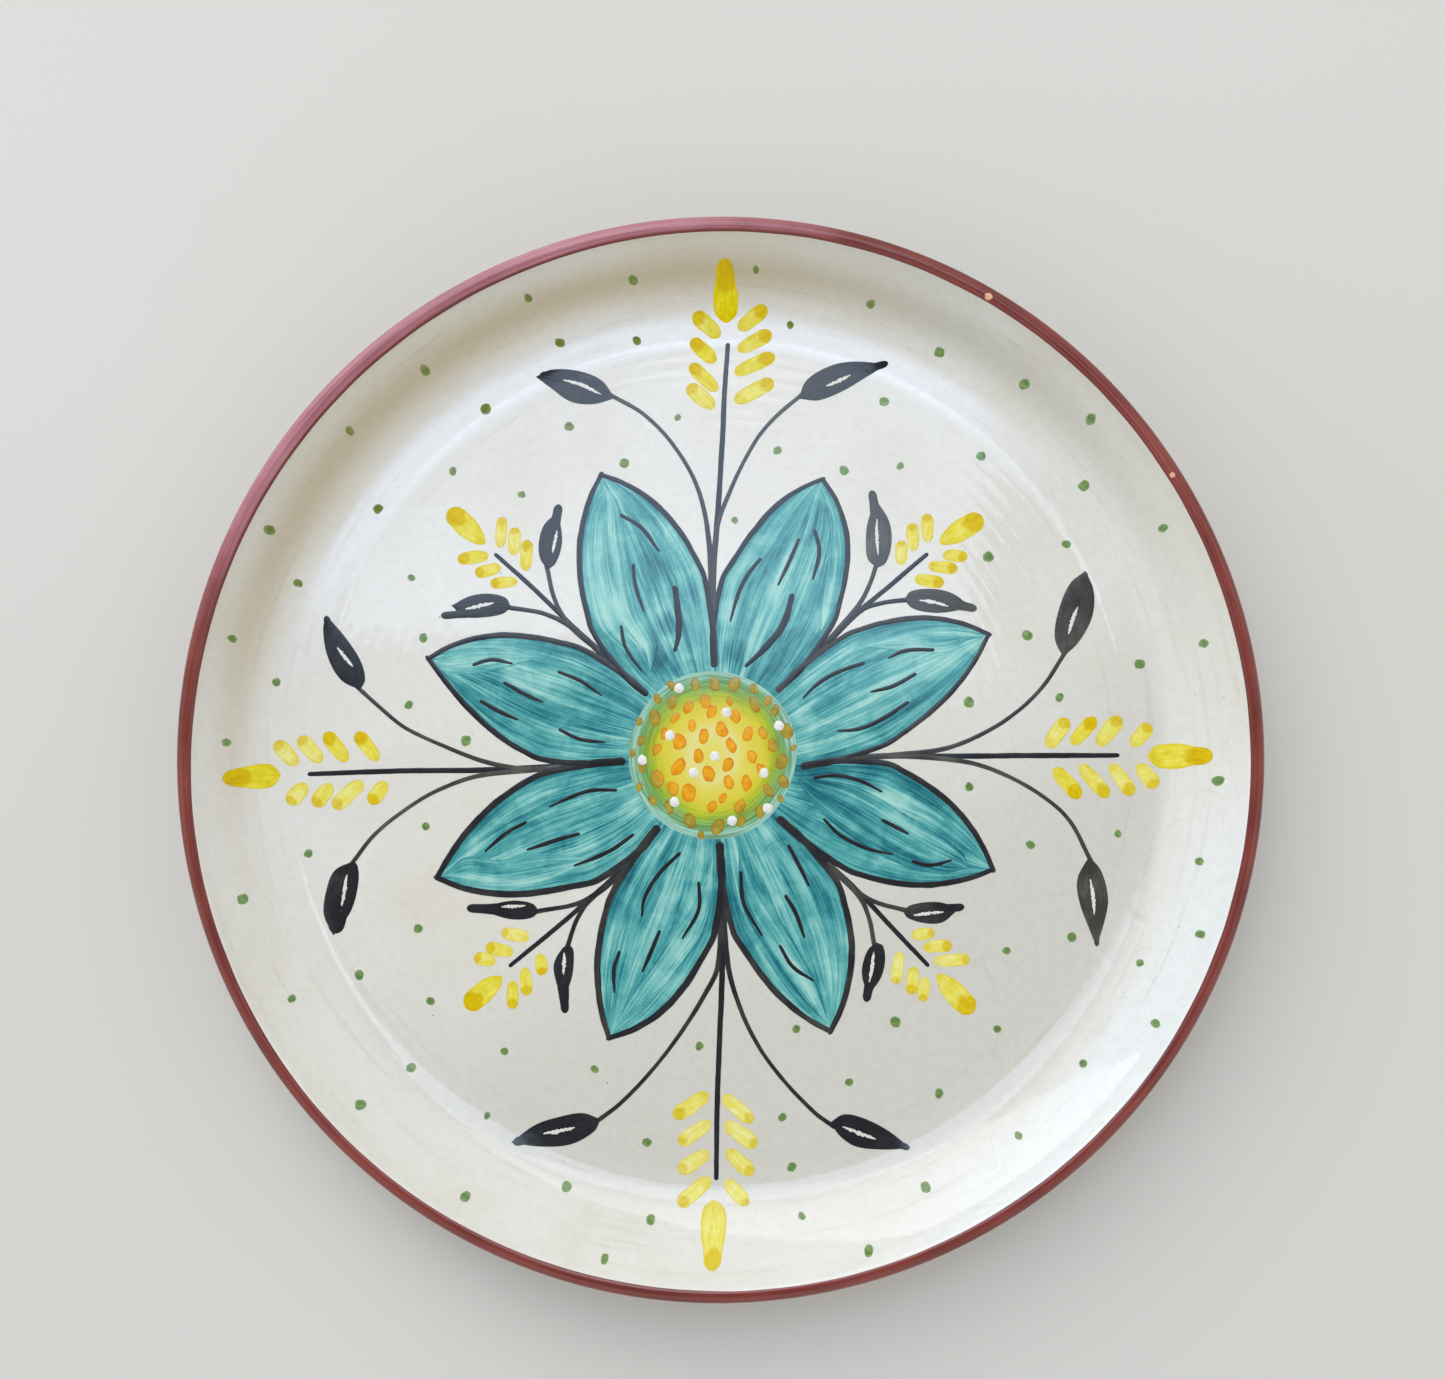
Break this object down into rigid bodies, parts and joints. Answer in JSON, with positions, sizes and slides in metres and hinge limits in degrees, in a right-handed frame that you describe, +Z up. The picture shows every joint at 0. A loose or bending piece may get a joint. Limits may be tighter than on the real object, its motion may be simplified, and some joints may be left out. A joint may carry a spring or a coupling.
{
  "type": "ceramic plate",
  "caption": "Round ceramic plate with a curved wall, rolled lip and foot ring, its floor painted with a flower, leafy sprays and ears of grain.",
  "frame": {"origin": "middle of the foot ring's resting plane, on the plate's axis", "axes": "+Z up out of the well; +Y towards the ear of grain called north; +X towards the one called east"},
  "size_m": [0.27, 0.27, 0.0255],
  "materials": {
    "clay": "unglazed fired earthenware, matte",
    "glaze": "glossy cream-white glaze",
    "rim_oxide": "glossy red-brown oxide band",
    "teal_paint": "streaky translucent teal brushwork under glaze",
    "yellow_paint": "translucent yellow dabs under glaze",
    "green_paint": "green shading to yellow, banded on the wheel",
    "black_ink": "glossy black brush line",
    "white_enamel": "raised glossy white enamel"
  },
  "bodies": {
    "root": {"back_glaze": "glaze", "base_glaze": "glaze", "clay_body": "clay", "enamel_dot_01": "white_enamel", "enamel_dot_02": "white_enamel", "enamel_dot_03": "white_enamel", "enamel_dot_04": "white_enamel", "enamel_dot_05": "white_enamel", "enamel_dot_06": "white_enamel", "enamel_dot_07": "white_enamel", "enamel_dot_08": "white_enamel", "enamel_dot_09": "white_enamel", "enamel_dot_10": "white_enamel", "enamel_dot_11": "white_enamel", "face_glaze": "glaze", "flower_centre": "green_paint", "flower_outline": "black_ink", "petal_ene": "teal_paint", "petal_ese": "teal_paint", "petal_nne": "teal_paint", "petal_nnw": "teal_paint", "petal_sse": "teal_paint", "petal_ssw": "teal_paint", "petal_wnw": "teal_paint", "petal_wsw": "teal_paint", "rim_band": "rim_oxide", "spray_east": "black_ink", "spray_north": "black_ink", "spray_north_east": "black_ink", "spray_north_west": "black_ink", "spray_south": "black_ink", "spray_south_east": "black_ink", "spray_south_west": "black_ink", "spray_west": "black_ink", "tip_grain_east": "yellow_paint", "tip_grain_north": "yellow_paint", "tip_grain_north_east": "yellow_paint", "tip_grain_north_west": "yellow_paint", "tip_grain_south": "yellow_paint", "tip_grain_south_east": "yellow_paint", "tip_grain_south_west": "yellow_paint", "tip_grain_west": "yellow_paint"}
  },
  "joints": []
}
